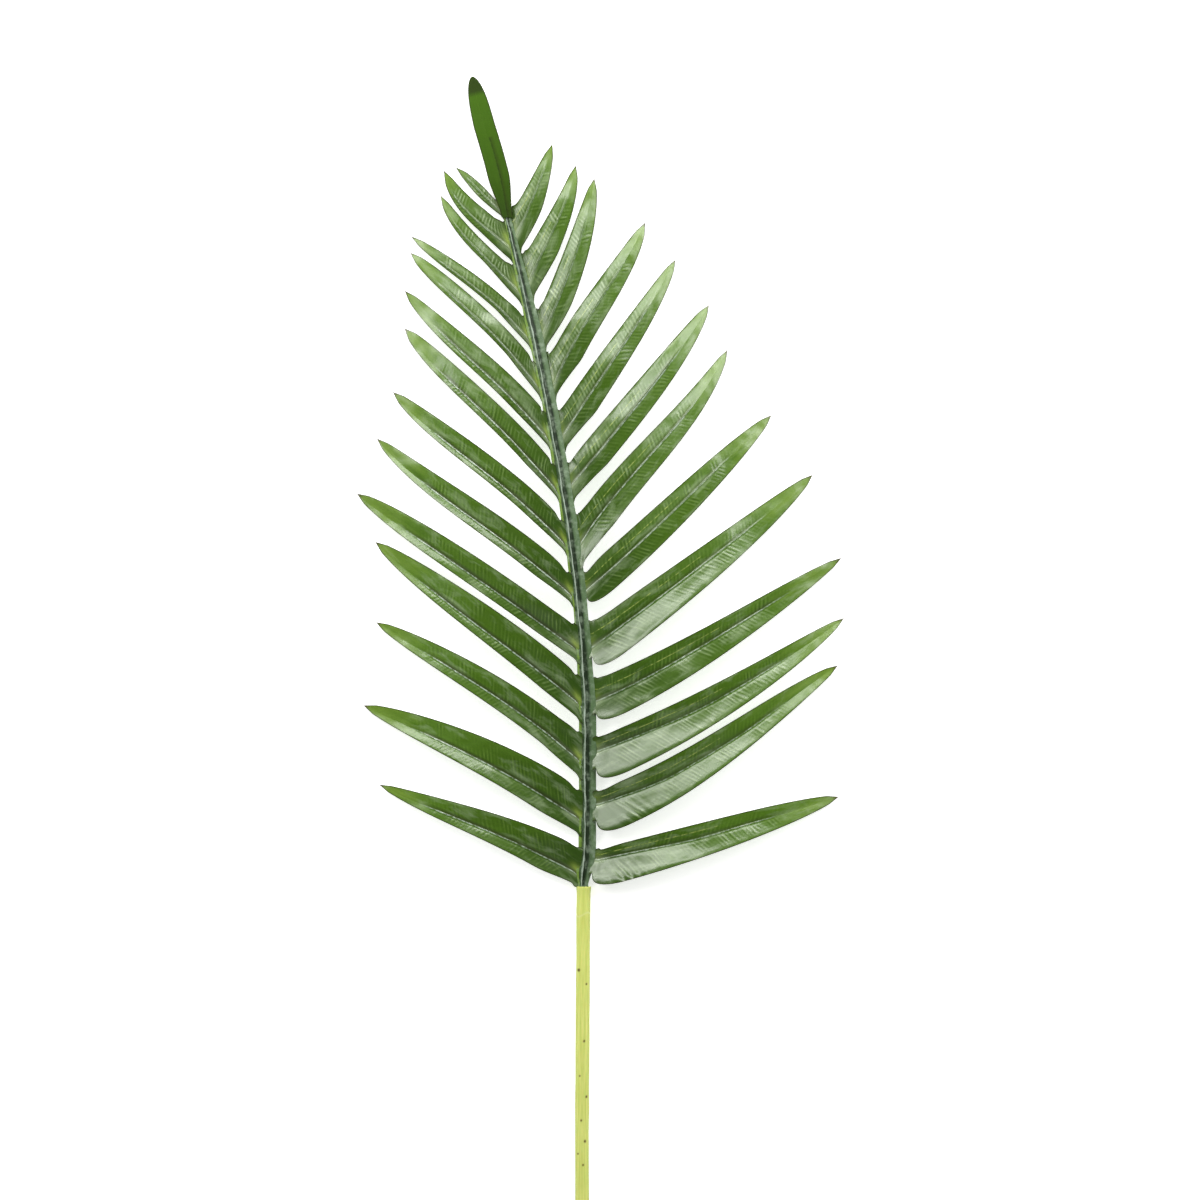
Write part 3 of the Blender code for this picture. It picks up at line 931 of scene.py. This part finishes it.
@dataclass
class Stalk:
    """The round stalk below the leaf, cut at one end and open at its mouth."""

    diameter: float = 10.0
    start: float = -295.0
    mouth: float = 20.0
    collar_length: float = 6.0
    collar_diameter: float = 10.8
    socket_diameter: float = 8.4
    socket_depth: float = 8.0
    chamfer: float = 0.6
    sway_places: tuple[float, ...] = (-295.0, -160.0, 0.0, 20.0)
    sways: tuple[float, ...] = (-0.6, -1.0, 0.0, 0.3)
    # Each speck: how far across the stalk's top it lies, its place, and its radius.
    specks: tuple[tuple[float, float, float], ...] = (
        (-3.0, -40.0, 1.0), (2.6, -50.0, 0.7), (1.2, -91.0, 0.8), (-1.8, -116.0, 0.6),
        (3.1, -131.0, 0.8), (-0.6, -148.0, 0.7), (2.2, -163.0, 0.9), (-2.9, -172.0, 0.6),
        (0.8, -180.0, 0.7),
    )
    step: float = 0.6
    columns: int = 64

    def profile(self) -> tuple[np.ndarray, np.ndarray]:
        """The stalk's outline, turned about its axis.

        Returns:
            Places along the stalk and the radius at each.
        """
        radius = self.diameter / 2.0
        length = self.mouth - self.collar_length - self.start - self.chamfer
        count = round(length / self.step)
        wall = np.linspace(self.start + self.chamfer, self.mouth - self.collar_length, count)
        collar = np.linspace(0.0, 1.0, 12)[1:]
        collar_places = mix(self.mouth - self.collar_length, self.mouth - 0.3, collar)
        collar_radii = mix(radius, self.collar_diameter / 2.0, smooth(collar))
        inner = self.socket_diameter / 2.0
        places = np.concatenate([
            [self.start + 0.5, self.start + 0.2, self.start, self.start], wall, collar_places,
            [self.mouth, self.mouth, self.mouth - 0.3, self.mouth - self.socket_depth,
             self.mouth - self.socket_depth]])
        radii = np.concatenate([
            [0.0, radius * 0.5, radius * 0.8, radius - self.chamfer], np.full(count, radius),
            collar_radii,
            [self.collar_diameter / 2.0 - 0.25, inner + 0.25, inner, inner, 0.0]])
        return places, radii

    def build(self) -> bpy.types.Object:
        """Make the stalk's mesh and the values that its skin reads.

        Returns:
            The finished stalk.
        """
        places, radii = self.profile()
        piece, flat_x, flat_y = add_grid("stalk", self.columns, len(places) - 1)
        row = np.rint((flat_y + 1.0) / 2.0 * (len(places) - 1)).astype(int)
        place, radius = places[row], radii[row]
        turn = flat_x * math.pi
        wall = smooth((place - self.start) / 2.0) * np.where(radius > self.diameter / 2.0 - 0.3, 1.0, 0.0)
        rough = ripple(21, place * 0.25, np.sin(turn) * 9.0, 5.0) * 0.05
        rough = rough + ripple(22, place * 0.25, np.cos(turn) * 9.0, 6.0) * 0.05
        scar = np.exp(-((place - 1.5 * np.sin(turn * 2.0)) / 0.7) ** 2)
        swell = 0.12 * np.exp(-((place - 1.0) / 5.0) ** 2)
        x_top = radius * np.sin(turn)
        speck = np.zeros_like(place)
        for across, at, size in self.specks:
            away = np.hypot(x_top - across, (place - at) * 0.8)
            spot = np.exp(-(away / size) ** 4) * np.where(np.cos(turn) > 0.0, 1.0, 0.0)
            speck = np.maximum(speck, spot)
        radius = radius + wall * (rough + swell - 0.16 * scar - 0.12 * speck)
        middle = np.interp(place, self.sway_places, self.sways)
        x = middle + radius * np.sin(turn)
        z = self.diameter / 2.0 + radius * np.cos(turn)
        place_points(piece, np.stack([x, place, np.maximum(z, 0.0)], axis=1))
        keep_value(piece, "place", place)
        keep_value(piece, "turn", np.abs(turn))
        keep_value(piece, "speck", speck * wall)
        keep_value(piece, "scar", 0.6 * scar * wall)
        keep_value(piece, "cut", np.where(radii[row] < self.diameter / 2.0 - 0.3, 1.0, 0.0))
        close_tube(piece)
        return piece

    def dress(self, piece: bpy.types.Object, material: bpy.types.Material) -> None:
        """Give the stalk its skin."""
        hand_over(piece, material, "stalk")


# ---------------------------------------------------------------- studio

@dataclass
class Studio:
    """A white table top, a soft wall of light past the leaf's tip, and a camera overhead."""

    picture_width: float = 864.0
    centre_x: float = 12.0
    centre_y: float = 226.0
    lens: float = 200.0
    sensor: float = 36.0

    def build(self) -> None:
        """Make the table, the lights, the surroundings and the camera."""
        self.lay_table()
        self.hang_lights()
        self.light_surroundings()
        self.set_camera()

    def lay_table(self) -> None:
        """Lay the white table top."""
        bpy.ops.object.select_all(action="DESELECT")
        bpy.ops.mesh.primitive_plane_add(size=16.0, location=(0.0, 0.0, -0.2 * MM))
        table = bpy.context.object
        table.name = "table_top"
        table.data.materials.append(TablePaint().build())

    def hang_lights(self) -> None:
        """Hang softboxes in an arc past the leaf's tip."""
        middle = Vector((0.0, 0.2, 0.0))
        for name, azimuth, power, wide in (("softbox_far", 0.0, 22.0, 1.6),
                                           ("softbox_left", 52.0, 14.0, 1.2),
                                           ("softbox_right", -52.0, 14.0, 1.2)):
            turn, down = math.radians(azimuth), math.radians(43.0)
            away = Vector((-math.sin(turn) * math.sin(down), math.cos(turn) * math.sin(down),
                           math.cos(down)))
            bpy.ops.object.light_add(type="AREA", location=middle + away * 2.0)
            light = bpy.context.object
            light.name = name
            light.rotation_mode = "QUATERNION"
            light.rotation_quaternion = away.to_track_quat("Z", "Y")
            light.data.shape = "RECTANGLE"
            light.data.size, light.data.size_y = wide, 0.6
            light.data.energy = power
            light.visible_camera = False

    def light_surroundings(self) -> None:
        """Surround the table with a pale room whose ceiling is dark."""
        world = bpy.data.worlds.new("studio_room")
        bpy.context.scene.world = world
        world.use_nodes = True
        tree = world.node_tree
        direction = add_node(tree, "ShaderNodeTexCoord").outputs["Generated"]
        height = add_node(tree, "ShaderNodeSeparateXYZ", {0: direction}).outputs[2]
        ramp = add_node(tree, "ShaderNodeValToRGB", {0: height})
        stops = ramp.color_ramp.elements
        stops[0].position, stops[0].color = 0.2, (0.9, 0.9, 0.9, 1.0)
        stops[1].position, stops[1].color = 0.8, (0.06, 0.06, 0.06, 1.0)
        ground = tree.nodes["Background"]
        tree.links.new(ramp.outputs[0], ground.inputs["Color"])
        ground.inputs["Strength"].default_value = 0.9

    def set_camera(self) -> None:
        """Look straight down on the leaf, with its tip at the top of the picture."""
        distance = self.picture_width * self.lens / self.sensor
        bpy.ops.object.camera_add(
            location=(self.centre_x * MM, self.centre_y * MM, distance * MM), rotation=(0, 0, 0))
        camera = bpy.context.object
        camera.name = "overhead_camera"
        camera.data.lens = self.lens
        camera.data.sensor_width = self.sensor
        camera.data.clip_end = 50.0
        bpy.context.scene.camera = camera
        bpy.context.scene.view_settings.view_transform = "Standard"


# ---------------------------------------------------------------- the whole leaf

R, L = Side.RIGHT, Side.LEFT

# Leans are in degrees, positive where a half faces past the leaf's tip, at even stops
# from the root to the tip: the upper half first and then the lower half.
# Per blade, one keyword pair sets the painted sheen on the rib crests, upper half first, and one keyword
# the crease's pale line with the painted shade above it.
LEAFLETS = [
    Leaflet(R, 1, 32.1, 184, 16.5, 27, 2.1, 14.5, 2.7, -1, -0.5, 0, (-10, -10, -8, -6, -6),
            (23, 24, 20, 15, 0), crease=(0.45, 0.1, 0), pucker=0.5, rib_wax_and_sheen=(0.05, 0.2), crease_line_and_shade=0.5),
    Leaflet(R, 2, 72.3, 204, 31.5, 32, 1.5, 15.8, 4, -6.5, -1, 3, (-20, -20, -18, -12, -6),
            (21, 21, 20, 18, 4), crease=(0.4, 0.1, -0.05, 0), pucker=0.2, rib_wax_and_sheen=(0.05, 0.3), crease_line_and_shade=0.5),
    Leaflet(R, 3, 110, 206, 30, 31.5, 1.5, 17, 4.7, -4, -3.5, 5, (-20, -20, -18, -12, -6),
            (22, 23, 19, 17, 4), crease=(0.4, 0.1, 0), rib_wax_and_sheen=(0.06, 0.5), crease_line_and_shade=0.5),
    Leaflet(R, 4, 152.1, 205, 30.5, 31, 1.3, 17.3, 7.1, -4, -1.5, 0, (-6, -14, -14, -8, -2),
            (16, 14, 4, -2, -4), crease=(0.05, 0.1, 0), curl=10, rib_wax_and_sheen=(0.08, 0.3)),
    Leaflet(R, 5, 189.7, 203, 38.5, 31, 1.7, 20.4, 4.2, -1, -2, 3, (0, -3, -2, 8, 0),
            (20, 23, 15, 0, -4), crease=(0.1, 0.1, 0), curl=14, rib_wax_and_sheen=(0.1, 0.5), crease_line_and_shade=0.5, long_lift=7.8),
    Leaflet(R, 6, 232.4, 184, 43.5, 24.5, 2.3, 12.4, 3.6, -1.5, -0.5, 5, (-2, 2, 8, 2, 0),
            (-8, -6, -4, -4, -2), crease=(0, 0), curl=8, rib_wax_and_sheen=(0.12, 0.12), crease_line_and_shade=0.5),
    Leaflet(R, 7, 265.6, 176, 53, 24.5, 2.2, 20.6, 13.6, 3, -5, 0, (2, -6, 2, 12, 2),
            (16, 6, -4, -4, -4), crease=(0, -0.1), curl=12, rib_wax_and_sheen=(0.35, 0.1)),
    Leaflet(R, 8, 309.1, 163, 52.5, 22.5, 2.8, 14.2, 11.3, -0.5, -2.5, 3, (12, 8, 21, 22, 6),
            (0, -4, -6, -6, -6), crease=(-0.1, -0.1), curl=8, rib_wax_and_sheen=(0.5, 0.1)),
    Leaflet(R, 9, 343.6, 151, 57.5, 22, 2.2, 17.5, 9.4, 0.5, -2, 5, (8, 4, 12, 12, 6),
            (-10, -10, -10, -8, -8), crease=(-0.05, -0.05), curl=6, rib_wax_and_sheen=(0.55, 0.12), crease_line_and_shade=0.5),
    Leaflet(R, 10, 378.7, 136, 61, 21.5, 2.7, 24.4, 7.8, 3.5, -2, 0, (12, 12, 14, 14, 6),
            (-10, -12, -12, -10, -8), crease=(-0.05, 0), rib_wax_and_sheen=(0.65, 0.15), crease_line_and_shade=0.3),
    Leaflet(R, 11, 415.2, 120, 72, 20, 2.5, 18.5, 8.9, -2, -3, 3, (14, 18, 20, 17, 6),
            (-8, -10, -12, -10, -8), crease=(0, 0), rib_wax_and_sheen=(0.75, 0.15), crease_line_and_shade=0.25),
    Leaflet(R, 12, 454, 91, 68.5, 23, 1.4, 20.2, 11, 0, -3, 4, (12, 10, 12, 10, 4),
            (-8, -8, -10, -10, -8), crease=(0, 0), rib_wax_and_sheen=(0.7, 0.15), crease_line_and_shade=0.2),
    Leaflet(R, 13, 488, 71, 68.5, 23, 1, 18.4, 11, -1, -1, 2, (12, 10, 10, 8, 4),
            (-8, -8, -10, -8, -6), crease=(0, 0), rib_wax_and_sheen=(0.65, 0.15), crease_line_and_shade=0.2),
    Leaflet(L, 1, 32.9, 154, 23, 30, 1, 14.5, 11.5, 3.5, 0, 3, (-16, -14, -12, -8, -8),
            (4, 8, 14, 10, -6), crease=(-0.3, -0.3), rib_wax_and_sheen=(0.05, 0.1), crease_line_and_shade=0.8),
    Leaflet(L, 2, 72.9, 173, 26.5, 30.5, 1.8, 15.6, 14.9, 4.5, 2.5, 0, (-16, -12, -8, -4, -8),
            (2, 8, 21, 20, -4), crease=(-0.3, -0.3), rib_wax_and_sheen=(0.05, 0.15), crease_line_and_shade=0.8),
    Leaflet(L, 3, 115.2, 174, 33, 22.5, 2.4, 15.1, 15.6, 4, 2, 3, (-16, -14, -12, -8, -10),
            (2, 4, 6, 10, 10, -8), crease=(-0.3, -0.3), rib_wax_and_sheen=(0.08, 0.15), crease_line_and_shade=0.8),
    Leaflet(L, 4, 155.7, 184, 37.5, 25, 2.6, 15.5, 15.3, 2.5, 0, 5, (-16, -16, -14, -10, -12),
            (0, 2, 6, 14, 12, -8), crease=(-0.3, -0.45, -0.4), rib_wax_and_sheen=(0.08, 0.15), crease_line_and_shade=0.85),
    Leaflet(L, 5, 194.3, 191, 34.5, 20, 4.2, 13.6, 12, 1.5, 0.5, 0, (-20, -18, -14, -12, -14),
            (0, 2, 8, 14, 12, -8), crease=(-0.35, -0.35), rib_wax_and_sheen=(0.08, 0.15), crease_line_and_shade=0.85),
    Leaflet(L, 6, 233.2, 177, 38, 19, 3.4, 11.4, 10.1, 3, -2.5, 3, (-14, -12, -10, -10, -12),
            (4, 6, 12, 20, 22, -2), crease=(-0.42, -0.42), rib_wax_and_sheen=(0.1, 0.15), crease_line_and_shade=0.85),
    Leaflet(L, 7, 270.4, 162, 40.5, 16.5, 4.4, 11.4, 10.7, 4, -1, 5, (-10, -10, -8, -8, -10),
            (-4, 0, 6, 16, 12, -6), crease=(-0.5, -0.5), rib_wax_and_sheen=(0.1, 0.15), crease_line_and_shade=0.85),
    Leaflet(L, 8, 308.5, 157, 46, 16, 5.8, 13.8, 10.8, 3.5, -1, 0, (-6, -6, -2, -2, -8),
            (-10, -6, 0, 6, 4, -6), crease=(-0.5, -0.5), rib_wax_and_sheen=(0.12, 0.12), crease_line_and_shade=0.8),
    Leaflet(L, 9, 345.9, 145, 45, 16, 3.8, 14.3, 11.8, 3.5, -1.5, 3, (0, -2, 2, 2, -6),
            (-12, -10, -4, 2, 0, -6), crease=(-0.5, -0.45), rib_wax_and_sheen=(0.2, 0.12), crease_line_and_shade=0.7),
    Leaflet(L, 10, 384.6, 129, 45, 12.5, 5.5, 11.1, 13.9, 3.5, 0.5, 5, (2, 2, 6, 6, -2),
            (-14, -12, -10, -6, -4), crease=(-0.55, -0.6), rib_wax_and_sheen=(0.45, 0.1), crease_line_and_shade=0.4),
    Leaflet(L, 11, 419, 108, 39.5, 10.5, 3.7, 9.9, 12, 3, 0.5, 0, (4, 6, 6, 6, 0),
            (-14, -12, -10, -6, -4), crease=(-0.55, -0.6), rib_wax_and_sheen=(0.5, 0.1), crease_line_and_shade=0.3),
    Leaflet(L, 12, 454.9, 83, 48.5, 10.5, 4.2, 11.1, 15.5, -1.5, -3.5, 3, (6, 8, 8, 6, 0),
            (-14, -12, -10, -6, -4), crease=(-0.5, -0.5), rib_wax_and_sheen=(0.55, 0.1), crease_line_and_shade=0.25),
    Leaflet(L, 13, 485.1, 68, 47, 15, 2.4, 12, 16, -2, -4, 3, (6, 8, 8, 6, 0),
            (-12, -10, -8, -6, -4), crease=(-0.4, -0.5), rib_wax_and_sheen=(0.55, 0.1), crease_line_and_shade=0.25),
    Leaflet(L, 14, 506, 46, 43, 9, 2.2, 5, 5, -1, 0.5, 0, (2, 4, 4, 2, -2),
            (-10, -8, -6, -4, -4), crease=(-0.2, -0.2), rib_wax_and_sheen=(0.4, 0.1), crease_line_and_shade=0.2),
]


def main() -> None:
    """Build and dress the leaf, then the studio."""
    logging.basicConfig(level=logging.INFO, format="%(message)s")
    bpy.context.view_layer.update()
    leaf_skin = LeafSkin().build()
    # The end leaflet's skin: matte even green, with a dark line along its crease and painted shade above
    # it.
    end_skin = LeafSkin(
        name="matte_end_leaf_smooth", deep="#28420a", fresh="#34540a", young="#3a5d0b",
        tip="#3e620d", point="#26390a", vein="#1d300a", dry_from=0.86, dry_blend=0.25,
        sheen_haze=0.0, roughness=0.6, specular=0.2, coat=0.0).build()
    for leaflet in LEAFLETS:
        leaflet.dress(leaflet.build(), leaf_skin)
    end_leaflet = EndLeaflet()
    end_leaflet.dress(end_leaflet.build(), end_skin)
    midrib = Midrib()
    midrib.dress(midrib.build(), MidribSkin().build())
    stalk = Stalk()
    stalk.dress(stalk.build(), StalkSkin().build())
    Studio().build()


if __name__ == "__main__":
    main()
